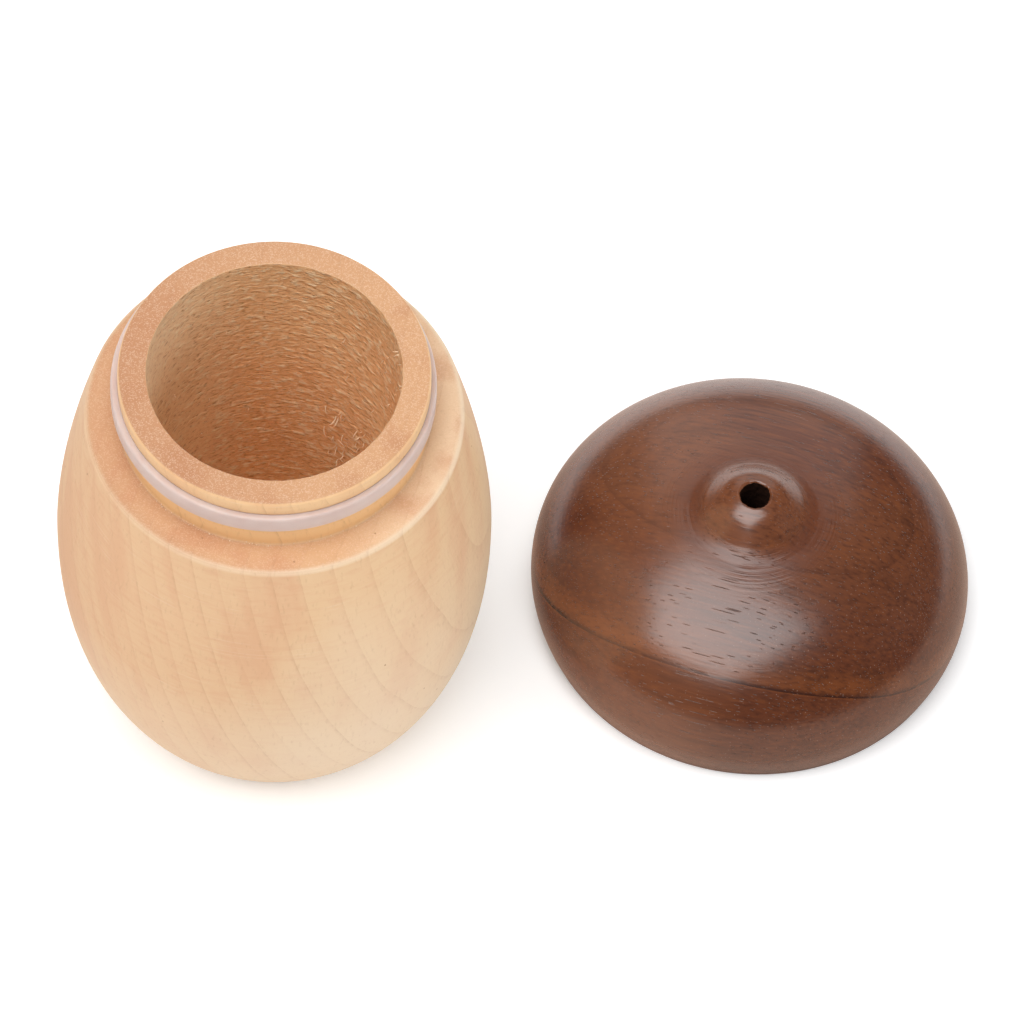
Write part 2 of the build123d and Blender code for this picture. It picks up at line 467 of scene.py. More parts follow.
def maple_finish():
    material, tree = finish("sanded_maple", {"Roughness": 0.5, "Specular IOR Level": 0.3})
    own = own_space(tree)
    colour, flat = maple_colour(tree, wood_space(tree, MAPLE_HEART, MAPLE_GRAIN), own)
    specks = pores_at(tree, own, MAPLE_SPECKS)
    colour = coat(tree, colour, MAPLE_SPECK, times(tree, specks, flat), 0.33)
    fibres = noise_at(tree, own, 1.0, (2600, 2600, 700), 3.0)
    colour = coat(tree, colour, MAPLE_LINE, between(tree, fibres, 0.58, 0.75), 0.16)
    colour = coat(tree, colour, MAPLE_LINE, pores_at(tree, own, MAPLE_FLECKS), 0.8)
    turned = turned_at(tree, own, MAPLE_SCRATCHES)
    colour = coat(tree, colour, MAPLE_SPECK, between(tree, turned, 0.56, 0.7), 0.18)
    normal = bump(tree, fibres, 0.00005, bump(tree, turned, 0.00006))
    feed(tree, {"Base Color": colour, "Normal": normal})
    return material


sanded_maple = maple_finish()
print("sanded_maple has", len(sanded_maple.node_tree.nodes), "nodes")

# %% [markdown]
# ### The raw bore
#
# The inside was hollowed with a boring bar and never sanded, so the end grain is torn into short
# ridges that run round the bore, and the wood looks darker and warmer. Its colours are painted
# warmer and brighter than its own tone: painted light for the light bounced round inside. The
# ridges are real geometry, made further on. The finish paints highlights on their crests and the
# finest fibres, painted shade between the fibres, and a paler left side: painted light for the
# light that falls on it from the right.

# %% Bore finish
BORE_TONE_AND_BOUNCE_LIGHT = (0.92, 0.56, 0.285, 1)
BORE_DEEP_AND_BOUNCE_LIGHT = (0.86, 0.46, 0.215, 1)
BORE_HIGHLIGHT = (0.99, 0.82, 0.56, 1)
BORE_SHADE = (0.46, 0.22, 0.09, 1)
RIDGE_LENGTH = 0.0013
RIDGE_PITCH = 0.00075


def bore_finish():
    material, tree = finish("raw_bore_maple", {"Roughness": 0.65, "Specular IOR Level": 0.3})
    own = own_space(tree)
    patches = noise_at(tree, wood_space(tree, MAPLE_HEART, MAPLE_GRAIN), 60.0, (1, 1, 0.4))
    ridges = noise_at(tree, own, 1.0, (1 / RIDGE_LENGTH, 1 / RIDGE_LENGTH, 1 / RIDGE_PITCH), 2.0)
    fibres = noise_at(tree, own, 1.0, (1300, 1300, 3600), 3.0)
    x = split(tree, own)[0]
    # Painted light: the tones are painted brighter and warmer for the light bounced round the bore.
    colour = tint(tree, BORE_TONE_AND_BOUNCE_LIGHT, BORE_DEEP_AND_BOUNCE_LIGHT, between(tree, patches, 0.4, 0.7))
    # Painted light: the left wall paler, for the light that falls on it from the right.
    colour = coat(tree, colour, BORE_HIGHLIGHT, between(tree, x, -0.004, -0.015), 0.7)
    # Painted highlights on the ridge crests and on the finest fibres.
    colour = coat(tree, colour, BORE_HIGHLIGHT, between(tree, ridges, 0.53, 0.67), 0.65)
    colour = coat(tree, colour, BORE_HIGHLIGHT, between(tree, fibres, 0.56, 0.68), 0.5)
    # Painted shade in the gaps between the fibres.
    colour = coat(tree, colour, BORE_SHADE, between(tree, fibres, 0.44, 0.32), 0.65)
    feed(tree, {"Base Color": colour, "Normal": bump(tree, fibres, 0.0003)})
    return material


raw_bore_maple = bore_finish()
print("raw_bore_maple has", len(raw_bore_maple.node_tree.nodes), "nodes")

# %% [markdown]
# ### Walnut
#
# Walnut is red brown with open pores, under a satin lacquer. The cap's grain lies nearly flat, so
# its pores are dashes on the front and dots on the right. The heart of the tree passes above the
# cap and behind it, so one ring comes out as a faint oval round the top and the next as a dark
# line round the lower side, with a band of orange just inside it. Fine threads of dark and orange
# run along the grain. The lacquer doesn't fill the pores, so they stay dull where the rest of the
# wood shines, and the tool left its deepest scratches round the foot of the nipple. Light and shade
# are painted in as well: painted shade on the cap's right and round the nipple's foot, painted
# light on its left, and painted glints on the dots on the right.

# %% Walnut's colours
CAP_AXIS = (0.0595, 0.01145)
WALNUT_HEART = (0.0595, 0.02094, 0.0509)
WALNUT_GRAIN = (0.962, -0.272, 0.014)
WALNUT_BROWN = (0.170, 0.056, 0.024, 1)
WALNUT_RED_AND_SHADE = (0.115, 0.028, 0.010, 1)
WALNUT_ORANGE = (0.24, 0.070, 0.018, 1)
WALNUT_DARK_AND_SHADE = (0.045, 0.014, 0.008, 1)
WALNUT_PORE = (0.018, 0.008, 0.006, 1)
WALNUT_PAINTED_LIGHT = (0.27, 0.110, 0.055, 1)
WALNUT_GLINT = (0.42, 0.30, 0.25, 1)
WALNUT_RINGS = {
    "Spacing": 0.01265,
    "First Ring": 0.03467,
    "Line Share": 0.075,
    "Wobble": 0.0022,
    "Wobble Scale": 40.0,
}
WALNUT_FINE_RINGS = {
    "Spacing": 0.0024,
    "First Ring": 0.03467,
    "Line Share": 0.5,
    "Wobble": 0.002,
    "Wobble Scale": 60.0,
}
WALNUT_DASHES = {"Cell": 0.00027, "Stretch": 30.0, "Share": 0.9, "Width": 0.22}
WALNUT_GLINTS = {"Cell": 0.00052, "Stretch": 1.0, "Share": 0.75, "Width": 0.15}
WALNUT_POLISH, WALNUT_SCRATCHES = 0.0003, 0.0005

# Distances from the cap's axis at the nipple's foot, where the scratches and the painted shade begin and
# end.
FOOT_START, FOOT_FULL, FOOT_FADES, FOOT_END = 0.0062, 0.0074, 0.0084, 0.0115


def walnut_colour(tree, space):
    """The colour of the walnut between its pores and its threads."""
    streaks = noise_at(tree, space, 420.0, (1, 1, 0.05), 3.0)
    patches = noise_at(tree, space, 60.0, (1, 1, 0.4))
    rings = rings_at(tree, space, WALNUT_RINGS)
    fine_rings = rings_at(tree, space, WALNUT_FINE_RINGS)
    count = rings["Count"]
    red = between(tree, patches, 0.45, 0.7)
    red = calc(tree, "MULTIPLY_ADD", between(tree, count, -0.1, 0.6), 0.6, red, clamp=True)
    colour = tint(tree, WALNUT_BROWN, WALNUT_RED_AND_SHADE, red)
    band = times(tree, between(tree, count, 0.7, 0.86), between(tree, count, 1.02, 1.0))
    colour = coat(tree, colour, WALNUT_ORANGE, band, 0.55)
    colour = coat(tree, colour, WALNUT_DARK_AND_SHADE, between(tree, streaks, 0.52, 0.75), 0.4)
    colour = coat(tree, colour, WALNUT_DARK_AND_SHADE, fine_rings["Line"], 0.3)
    second = calc(tree, "MULTIPLY_ADD", between(tree, count, 0.3, 0.6), 1.4, 1.1)
    patchy = calc(tree, "MULTIPLY_ADD", between(tree, patches, 0.35, 0.6), 0.5, 0.75)
    line = calc(tree, "MULTIPLY", rings["Line"], times(tree, second, patchy), clamp=True)
    return tint(tree, colour, WALNUT_DARK_AND_SHADE, line)


def walnut_pores(tree, space):
    """Dashes along the grain, in rows."""
    rows = between(tree, noise_at(tree, space, 480.0, (1, 1, 0.12)), 0.36, 0.52)
    return times(tree, pores_at(tree, space, WALNUT_DASHES), rows)


def walnut_sides(tree, colour, own, x, y):
    """Painted shade on the cap's right, painted glints on its cut fibres, and painted light on its left.
    """
    glints = pores_at(tree, own, WALNUT_GLINTS)
    right = between(tree, calc(tree, "SUBTRACT", x, y), -0.004, 0.024)
    # Painted shade: the cap's right side darker.
    colour = coat(tree, colour, WALNUT_DARK_AND_SHADE, right, 0.3)
    # Painted light: a paler band on the cap's left.
    left = times(tree, between(tree, x, 0.0, -0.010), between(tree, x, -0.024, -0.018))
    colour = coat(tree, colour, WALNUT_PAINTED_LIGHT, left, 0.28)
    # Painted glints: light dots on the cut fibres of the right side.
    return coat(tree, colour, WALNUT_GLINT, times(tree, glints, right), 0.42)


# %% Walnut finish


def walnut_finish():
    material, tree = finish("lacquered_walnut", {"Specular IOR Level": 0.78})
    space = wood_space(tree, WALNUT_HEART, WALNUT_GRAIN)
    threads = noise_at(tree, space, 2500.0, (1, 1, 0.07), 3.0)
    colour = walnut_colour(tree, space)
    colour = coat(tree, colour, WALNUT_DARK_AND_SHADE, between(tree, threads, 0.52, 0.68), 0.5)
    colour = coat(tree, colour, WALNUT_ORANGE, between(tree, threads, 0.46, 0.34), 0.35)
    dashes = walnut_pores(tree, space)
    colour = coat(tree, colour, WALNUT_PORE, dashes, 0.75)
    own = own_space(tree)
    centred = vector_calc(tree, "SUBTRACT", own, (*CAP_AXIS, 0))
    x, y, _ = split(tree, centred)
    colour = walnut_sides(tree, colour, own, x, y)
    reach = distance_from_axis(tree, x, y)
    foot = between(tree, reach, FOOT_START, FOOT_FULL)
    foot = times(tree, foot, between(tree, reach, FOOT_END, FOOT_FADES))
    # Painted shade: darker red round the nipple's foot, where the cone meets the dome.
    colour = coat(tree, colour, WALNUT_RED_AND_SHADE, foot, 0.5)
    normal = bump(tree, turned_at(tree, centred, WALNUT_POLISH), 0.00002)
    scratches = times(tree, turned_at(tree, centred, WALNUT_SCRATCHES), foot)
    normal = bump(tree, scratches, 0.00022, normal)
    normal = bump(tree, threads, 0.000012, normal)
    normal = bump(tree, dashes, -0.00004, normal)
    rough = calc(tree, "MULTIPLY_ADD", dashes, 0.2, 0.25)
    rough = calc(tree, "MULTIPLY_ADD", foot, 0.1, rough)
    feed(tree, {"Base Color": colour, "Normal": normal, "Roughness": rough})
    return material


lacquered_walnut = walnut_finish()
print("lacquered_walnut has", len(lacquered_walnut.node_tree.nodes), "nodes")

# %% [markdown]
# The wall of the drilled hole is walnut too, but the lacquer never reached it, so it is dull, and
# it has a finish of its own, painted near black: painted shade for the dark inside of the hole.

# %% Painted shade in the drilled hole
HOLE_SHADE_BLACK, HOLE_SHADE_BROWN = (0.010, 0.004, 0.002, 1), (0.035, 0.014, 0.008, 1)


def hole_shade_finish():
    material, tree = finish("hole_shade_walnut", {"Roughness": 0.9, "Specular IOR Level": 0.1})
    hole_shade_noise = noise_at(tree, own_space(tree), 1500.0, (1, 1, 2.5), 3.0)
    colour = tint(tree, HOLE_SHADE_BLACK, HOLE_SHADE_BROWN, hole_shade_noise)
    feed(tree, {"Base Color": colour, "Normal": bump(tree, hole_shade_noise, 0.0001)})
    return material


hole_shade_walnut = hole_shade_finish()
print("hole_shade_walnut has", len(hole_shade_walnut.node_tree.nodes), "nodes")

# %% [markdown]
# ### Silicone
#
# The seal ring is milky silicone. Light goes a little way into it, which is what subsurface
# scattering gives, and its skin is dull with faint smudges.

# %% Silicone finish
SILICONE_DULL, SILICONE_MILKY = (0.62, 0.475, 0.43, 1), (0.66, 0.53, 0.485, 1)
SILICONE_LOOK = {
    "Roughness": 0.42,
    "Subsurface Weight": 0.5,
    "Subsurface Radius": (1.0, 0.8, 0.7),
    "Subsurface Scale": 0.0012,
}


def silicone_finish():
    material, tree = finish("milky_silicone", SILICONE_LOOK)
    smudges = noise_at(tree, own_space(tree), 260.0, (1, 1, 1), 3.0)
    colour = tint(tree, SILICONE_DULL, SILICONE_MILKY, between(tree, smudges, 0.35, 0.65))
    feed(tree, {"Base Color": colour, "Normal": bump(tree, smudges, 0.00005)})
    return material


milky_silicone = silicone_finish()
print("milky_silicone has", len(milky_silicone.node_tree.nodes), "nodes")

# %% [markdown]
# ## Outlines
#
# A turned piece is decided by half of its outline: radius against height. The curved sides are
# superellipses, the same formulas the CAD model uses. Corners are rounded with short arcs, which
# catch the light as the worn arrises of real wood do. Points are close together where the shape
# turns quickly and far apart where it doesn't.

# %% Outline helpers


def bulge(radius, widest_at, reach, fullness, height):
    """Radius of a turned side at a height: a superellipse about its widest height."""
    share = abs(height - widest_at) / reach
    return radius * (1 - share**fullness) ** (1 / fullness)


def steps(first, last, count):
    """Evenly spaced values from first to last, both included."""
    return [first + (last - first) * i / (count - 1) for i in range(count)]


def soften(corners, pieces=4):
    """A line through (radius, height, round) corners, each cut by an arc of its round's size."""
    points = []
    for i, (radius, height, size) in enumerate(corners):
        here = Vector((radius, height))
        if size == 0 or i in (0, len(corners) - 1):
            points.append(here)
            continue
        start = here + (Vector(corners[i - 1][:2]) - here).normalized() * size
        end = here + (Vector(corners[i + 1][:2]) - here).normalized() * size
        for t in steps(0, 1, pieces + 1):
            points.append(start * (1 - t) ** 2 + here * 2 * t * (1 - t) + end * t * t)
    return points


def fill_in(points, gap):
    """Adds points on long straight runs, so that none is longer than gap."""
    filled = [points[0]]
    for a, b in zip(points, points[1:]):
        count = max(1, math.ceil((b - a).length / gap))
        filled += [a.lerp(b, k / count) for k in range(1, count + 1)]
    return filled


def outline_object(name, points):
    """A mesh that is just the outline, as a chain of edges in the XZ plane, from millimetres."""
    mesh = bpy.data.meshes.new(name)
    places = [(p.x * MM, 0, p.y * MM) for p in points]
    mesh.from_pydata(places, [(i, i + 1) for i in range(len(places) - 1)], [])
    made = bpy.data.objects.new(name, mesh)
    bpy.context.collection.objects.link(made)
    return made


# %% [markdown]
# The jar's outline starts under the base and goes up the side, over the ledge, up the neck with
# its groove, over the top and down the bore to the middle of the floor.

# %% Jar outline
JAR_HEIGHT, NECK_HEIGHT = 66.7, 9.1
JAR_RADIUS, JAR_WIDEST = 26.8, 33.2
JAR_BELOW, JAR_ABOVE = (40.1, 2.4), (64.5, 1.577)
LEDGE_HEIGHT = JAR_HEIGHT - NECK_HEIGHT
NECK_RADIUS, BORE_RADIUS = 19.0, 15.55
BORE_FLOOR, BORE_FLOOR_ROUND = 6.0, 5.0
GROOVE_TOP = JAR_HEIGHT - 2.35
GROOVE_BOTTOM = GROOVE_TOP - 2.7
GROOVE_DEPTH = 1.4


def jar_side(height):
    """A point of the jar's side: one superellipse below the widest height and one above it."""
    reach, fullness = JAR_BELOW if height < JAR_WIDEST else JAR_ABOVE
    return Vector((bulge(JAR_RADIUS, JAR_WIDEST, reach, fullness, height), height))


def jar_outline():
    side = [jar_side(z) for z in steps(0.8, LEDGE_HEIGHT - 1.0, 60)]
    base = soften([(0, 0, 0), (side[0].x, 0, 0.8), (side[0].x, 0.8, 0)], 5)
    land = NECK_RADIUS - 0.1
    groove = NECK_RADIUS - GROOVE_DEPTH
    neck = soften(
        [
            (side[-1].x, side[-1].y, 0),
            (side[-1].x - 0.15, LEDGE_HEIGHT, 0.9),
            (land, LEDGE_HEIGHT, 0.45),
            (land, GROOVE_BOTTOM, 0.15),
            (groove, GROOVE_BOTTOM, 0),
            (groove, GROOVE_TOP, 0),
            (NECK_RADIUS, GROOVE_TOP, 0.2),
            (NECK_RADIUS, JAR_HEIGHT, 0.5),
            (BORE_RADIUS, JAR_HEIGHT, 0.12),
            (BORE_RADIUS, BORE_FLOOR + BORE_FLOOR_ROUND, 0),
        ],
        5,
    )
    floor = []
    for a in steps(0, math.pi / 2, 12)[1:]:
        inwards, down = BORE_FLOOR_ROUND * (1 - math.cos(a)), BORE_FLOOR_ROUND * (1 - math.sin(a))
        floor.append(Vector((BORE_RADIUS - inwards, BORE_FLOOR + down)))
    wall = fill_in(neck[-2:], 0.22)
    return base[:-1] + side + neck[1:-1] + wall[1:] + floor + [Vector((0, BORE_FLOOR))]


# %% [markdown]
# The cap's outline starts at the inner edge of its mouth and goes out along the mouth, up the
# side, over the dome and up the nipple, down the shaking hole, and under the dome to the socket.
# It ends where it starts.

# %% Cap outline
CAP_RADIUS, CAP_WIDEST, CAP_MOUTH = 27.43, 5.0, 26.24
CAP_RISE, CAP_FULLNESS, CAP_TUCK = 15.8, 2.2, 1.7
CAP_HEIGHT = 24.3
NIPPLE_FOOT = 8.4
NIPPLE = [
    (7.7, 20.5),
    (7.0, 20.93),
    (6.2, 21.58),
    (5.4, 22.28),
    (4.6, 22.97),
    (3.9, 23.51),
    (3.1, 23.96),
    (2.1, CAP_HEIGHT),
]
SOCKET_RADIUS, SOCKET_DEPTH = 19.5, 9.5
HOLE_RADIUS = 1.85
DOME_RADIUS, DOME_WALL_TOP, DOME_ROOF = 17.0, 11.0, 16.8


def cap_side(height):
    """A point of the cap's side: a superellipse, tucked in below its widest height."""
    if height >= CAP_WIDEST:
        return Vector((bulge(CAP_RADIUS, CAP_WIDEST, CAP_RISE, CAP_FULLNESS, height), height))
    share = (CAP_WIDEST - height) / CAP_WIDEST
    return Vector((CAP_RADIUS - (CAP_RADIUS - CAP_MOUTH) * share**CAP_TUCK, height))


def cap_dome(radius):
    """A point of the same superellipse, from its radius."""
    share = (1 - (radius / CAP_RADIUS) ** CAP_FULLNESS) ** (1 / CAP_FULLNESS)
    return Vector((radius, CAP_WIDEST + CAP_RISE * share))


def smooth_through(points, count):
    """Points on a smooth curve through a few points, by Catmull-Rom."""
    padded = [points[0] * 2 - points[1]] + points + [points[-1] * 2 - points[-2]]
    curve = []
    for a, b, c, d in zip(padded, padded[1:], padded[2:], padded[3:]):
        for t in steps(0, 1, count + 1)[:-1]:
            bend, twist = a * 2 - b * 5 + c * 4 - d, b * 3 - a - c * 3 + d
            curve.append(b + (c - a) * t / 2 + bend * t**2 / 2 + twist * t**3 / 2)
    return curve + [points[-1]]


def hole_outline():
    """Down the shaking hole, with its mouth broken a little."""
    mouth = (HOLE_RADIUS, CAP_HEIGHT - 0.22, 0.1)
    return fill_in(soften([(NIPPLE[-1][0], CAP_HEIGHT, 0), mouth, (HOLE_RADIUS, DOME_ROOF, 0)]), 0.35)


def roof_outline():
    """Out from the hole under the dome, in a smooth curve."""
    rise = DOME_ROOF - DOME_WALL_TOP
    points = [Vector((HOLE_RADIUS, DOME_ROOF))]
    for across, up in ((0.4, 0.95), (0.72, 0.62), (1, 0)):
        points.append(Vector((DOME_RADIUS * across, DOME_WALL_TOP + rise * up)))
    return smooth_through(points, 7)


def socket_outline():
    """Down the dome's wall, out along the socket's roof and down its side to the mouth."""
    corners = [
        (DOME_RADIUS, DOME_WALL_TOP, 0),
        (DOME_RADIUS, SOCKET_DEPTH, 0.15),
        (SOCKET_RADIUS, SOCKET_DEPTH, 0),
        (SOCKET_RADIUS, 0.3, 0),
        (SOCKET_RADIUS + 0.3, 0, 0),
    ]
    return fill_in(soften(corners), 1.0)


def cap_outline():
    side = [cap_side(z) for z in steps(0.5, 16, 40)]
    side += [cap_dome(r) for r in steps(side[-1].x, NIPPLE_FOOT, 26)[1:]]
    mouth = soften([(SOCKET_RADIUS + 0.3, 0, 0), (side[0].x, 0, 0.5), (side[0].x, 0.5, 0)], 5)
    nipple_points = [cap_dome(NIPPLE_FOOT + 1), cap_dome(NIPPLE_FOOT)] + [Vector(p) for p in NIPPLE]
    nipple = smooth_through(nipple_points, 7)[8:]
    return mouth[:-1] + side + nipple + hole_outline()[1:] + roof_outline()[1:] + socket_outline()[1:]


def seal_outline():
    """The ring's section: square in the groove and round outside it."""
    inner, outer = NECK_RADIUS - GROOVE_DEPTH, 19.75
    middle = (GROOVE_TOP + GROOVE_BOTTOM) / 2
    corners = [
        (inner, middle, 0),
        (inner, GROOVE_BOTTOM, 0.1),
        (outer, GROOVE_BOTTOM, 0.35),
        (outer + 0.04, middle, 0.6),
        (outer, GROOVE_TOP, 0.35),
        (inner, GROOVE_TOP, 0.1),
        (inner, middle, 0),
    ]
    return soften(corners, 6)


# %% [markdown]
# ## The lathe
#
# Turning is a rule: sweep the outline round an axis. A Screw modifier does that, but here the
# wood also has to be torn in the bore and pulled a little oval, so the lathe is a Geometry Nodes
# tree. It sweeps the outline along a straight line to get a sheet, remembers each point's place
# on the outline and its share of a turn, and rolls the sheet up. Ridges, chips, ovalness and the
# join are then all arithmetic on those two numbers. The last nodes put the finishes on.

# %% Steps of the lathe tree
WALL_MARGIN = 0.00001
CREST_START, CREST_GAIN = 0.42, 3.0
CHIP_SCALE, CHIP_REACH = 6.0, 0.0003
JOIN_DISTANCE = 0.000004


def geo(tree, kind, inputs):
    """Adds a Geometry node, by the last part of its type's name, and returns its result."""
    return put(tree, "GeometryNode" + kind, inputs).outputs[0]


def remembered(tree, geometry, kind, label, value):
    """Keeps a value on each point of a geometry under a label: the outputs."""
    kept = put(tree, "GeometryNodeCaptureAttribute", {"Geometry": geometry}, domain="POINT")
    kept.capture_items.new(kind, label)
    tree.links.new(value, kept.inputs[label])
    return kept.outputs


def coated(tree, geometry, material):
    """The end of both shape trees: real geometry with a finish on it."""
    real = put(tree, "GeometryNodeRealizeInstances", {"Geometry": geometry}).outputs[0]
    return put(tree, "GeometryNodeSetMaterial", {"Geometry": real, "Material": material}).outputs[0]


def swept_sheet(tree, given):
    """The outline swept along a line: the sheet, each point's radius, height and angle."""
    outline = geo(tree, "MeshToCurve", {"Mesh": given["Outline"]})
    position = put(tree, "GeometryNodeInputPosition").outputs[0]
    kept = remembered(tree, outline, "VECTOR", "Place", position)
    count = calc(tree, "ADD", given["Segments"], 1.0)
    straight = geo(tree, "CurvePrimitiveLine", {"End": (0, 1, 0)})
    divided = geo(tree, "ResampleCurve", {"Curve": straight, "Count": count})
    factor = put(tree, "GeometryNodeSplineParameter").outputs["Factor"]
    turn = remembered(tree, divided, "FLOAT", "Turn", factor)
    parts = {"Curve": turn["Geometry"], "Profile Curve": kept["Geometry"]}
    radius, _, height = split(tree, kept["Place"])
    return geo(tree, "CurveToMesh", parts), radius, height, times(tree, turn["Turn"], 2 * math.pi)


def raw_part(tree, given, radius, height):
    """1 on the raw part of a piece: within a radius and above a height."""
    outside = calc(tree, "SUBTRACT", radius, given["Raw Radius"])
    near_wall = calc(tree, "LESS_THAN", outside, WALL_MARGIN)
    return times(tree, near_wall, calc(tree, "GREATER_THAN", height, given["Raw Floor"]))


def ridge_depth(tree, given, radius, cosine, spot):
    """How far the torn ridges stand in, lower on the left and towards the middle of the floor."""
    torn = put(tree, "ShaderNodeTexNoise", {"Vector": spot, "Scale": 1.0, "Detail": 2.0}).outputs[0]
    crest = calc(tree, "SUBTRACT", torn, CREST_START, clamp=True)
    limits = {"Value": cosine, "From Min": -0.9, "From Max": 0.3, "To Min": 0.35, "To Max": 1.0}
    rough_side = put(tree, "ShaderNodeMapRange", limits).outputs[0]
    inwards = calc(tree, "DIVIDE", radius, given["Raw Radius"])
    return times(tree, crest, rough_side, inwards, given["Ridge Depth"])


def chipped(tree, given, radius, spot):
    """Small bites out of everything that is nearer the axis than the chip radius."""
    look = {"Vector": spot, "Scale": CHIP_SCALE, "Detail": 3.0}
    chips = put(tree, "ShaderNodeTexNoise", look).outputs[0]
    outside = calc(tree, "SUBTRACT", radius, given["Chip Radius"])
    bite = times(tree, calc(tree, "SUBTRACT", chips, 0.5), given["Chip Depth"])
    return bite, between(tree, outside, 0.0, -CHIP_REACH)


# %% Lathe tree


def lathe_tree():
    tree, given, result = group_tree(
        "lathe",
        "GeometryNodeTree",
        [
            ("Outline", GEOMETRY, None),
            ("Segments", INT, 128),
            ("Centre", VECTOR, None),
            ("Oval", FLOAT, 0.0),
            ("Oval Angle", FLOAT, 0.0),
            ("Ridge Depth", FLOAT, 0.0),
            ("Ridge Length", FLOAT, 0.004),
            ("Ridge Pitch", FLOAT, 0.001),
            ("Raw Radius", FLOAT, 0.0),
            ("Raw Floor", FLOAT, 0.0),
            ("Chip Radius", FLOAT, 0.0),
            ("Chip Depth", FLOAT, 0.0),
            ("Finish", MATERIAL, None),
            ("Raw Finish", MATERIAL, None),
        ],
        [("Geometry", GEOMETRY)],
    )
    sheet, radius, height, angle = swept_sheet(tree, given)
    cosine, sine = calc(tree, "COSINE", angle), calc(tree, "SINE", angle)
    raw = raw_part(tree, given, radius, height)
    across = calc(tree, "DIVIDE", radius, given["Ridge Length"])
    along = calc(tree, "DIVIDE", height, given["Ridge Pitch"])
    spot = xyz(tree, times(tree, cosine, across), times(tree, sine, across), along)
    depth = times(tree, ridge_depth(tree, given, radius, cosine, spot), raw)
    reach = calc(tree, "SUBTRACT", radius, times(tree, depth, CREST_GAIN))
    bite, share = chipped(tree, given, radius, spot)
    reach = calc(tree, "MULTIPLY_ADD", bite, share, reach)
    lean = times(tree, calc(tree, "SUBTRACT", angle, given["Oval Angle"]), 2.0)
    pull = calc(tree, "MULTIPLY_ADD", calc(tree, "COSINE", lean), given["Oval"], 1.0)
    reach = times(tree, reach, pull)
    rolled = xyz(tree, times(tree, cosine, reach), times(tree, sine, reach), height)
    moved = vector_calc(tree, "ADD", rolled, given["Centre"])
    shape = geo(tree, "SetPosition", {"Geometry": sheet, "Position": moved})
    joined = geo(tree, "MergeByDistance", {"Geometry": shape, "Distance": JOIN_DISTANCE})
    whole = coated(tree, geo(tree, "SetShadeSmooth", {"Geometry": joined}), given["Finish"])
    raw_coat = {"Geometry": whole, "Selection": raw, "Material": given["Raw Finish"]}
    tree.links.new(geo(tree, "SetMaterial", raw_coat), result["Geometry"])
    return tree


lathe = lathe_tree()
print("lathe has", len(lathe.nodes), "nodes")

# %% [markdown]
# `run_tree` hangs a tree on an object, sets its inputs by their identifiers, and keeps the result
# as a plain mesh. The modifier is gone afterwards, so the piece is ordinary geometry.

# %% Run a tree and keep the mesh


def run_tree(holder, tree, values, name):
    """The mesh that a tree makes of an object, as a new object. The holder is removed."""
    modifier = holder.modifiers.new(tree.name, "NODES")
    modifier.node_group = tree
    sockets = {s.name: s.identifier for s in tree.interface.items_tree if s.in_out == "INPUT"}
    for label, value in values.items():
        modifier[sockets[label]] = value
    evaluated = holder.evaluated_get(bpy.context.evaluated_depsgraph_get())
    mesh = bpy.data.meshes.new_from_object(evaluated)
    mesh.name = name
    holder.modifiers.clear()
    old = holder.data
    bpy.data.objects.remove(holder)
    bpy.data.meshes.remove(old)
    made = bpy.data.objects.new(name, mesh)
    bpy.context.collection.objects.link(made)
    return made


def turn_outwards(piece):
    """Makes the faces of a closed piece point outwards: its volume has to be positive."""
    mesh = piece.data
    mesh.calc_loop_triangles()
    volume = 0.0
    for tri in mesh.loop_triangles:
        a, b, c = (mesh.vertices[i].co for i in tri.vertices)
        volume += a.dot(b.cross(c)) / 6
    if volume < 0:
        mesh.flip_normals()
    mesh.validate(clean_customdata=False)
    print(piece.name, len(mesh.loop_triangles), "triangles,", round(abs(volume) * 1e6, 2), "cm3")


# %% Turn the three pieces
JAR_INPUTS = {
    "Segments": 256,
    "Ridge Depth": 0.00017,
    "Ridge Length": RIDGE_LENGTH,
    "Ridge Pitch": RIDGE_PITCH,
    "Raw Radius": BORE_RADIUS * MM,
    "Raw Floor": (BORE_FLOOR - 0.2) * MM,
    "Finish": sanded_maple,
    "Raw Finish": raw_bore_maple,
}
CAP_INPUTS = {
    "Segments": 256,
    "Centre": (*CAP_AXIS, 0),
    "Oval": 0.0145,
    "Oval Angle": math.radians(-34),
    "Chip Radius": 0.0021,
    "Chip Depth": 0.0006,
    "Ridge Length": 0.004,
    "Ridge Pitch": 0.001,
    "Raw Radius": 0.00187,
    "Raw Floor": 0.001,
    "Finish": lacquered_walnut,
    "Raw Finish": hole_shade_walnut,
}
# No part of the ring is as high as a metre, so no part of it is raw.
SEAL_INPUTS = {
    "Segments": 192,
    "Centre": (-0.0001, 0, 0),
    "Raw Radius": 0.0,
    "Raw Floor": 1.0,
    "Finish": milky_silicone,
    "Raw Finish": milky_silicone,
}


def turned_piece(name, points, inputs):
    piece = run_tree(outline_object(name + "_outline", points), lathe, inputs, name)
    turn_outwards(piece)
    return piece


jar = turned_piece("turned_maple_jar", jar_outline(), JAR_INPUTS)
cap = turned_piece("turned_walnut_cap", cap_outline(), CAP_INPUTS)
seal = turned_piece("silicone_seal_ring", seal_outline(), SEAL_INPUTS)

# %% [markdown]
# ## Torn fibres and dust
#
# The boring bar left slivers of maple standing in the bore, most of them low on its right side,
# and sanding dust caught where the neck meets the ledge. Both are many small copies of one shape,
# scattered at random over a patch of a turned surface, so one tree makes both. It picks a turn,
# a height and a distance from the axis for each copy, inside limits that are its inputs.

# %% Scatter tree
# The places of a Random Value node's sockets when it draws plain numbers.
RANDOM_LOW, RANDOM_HIGH, RANDOM_RESULT = 2, 3, 1


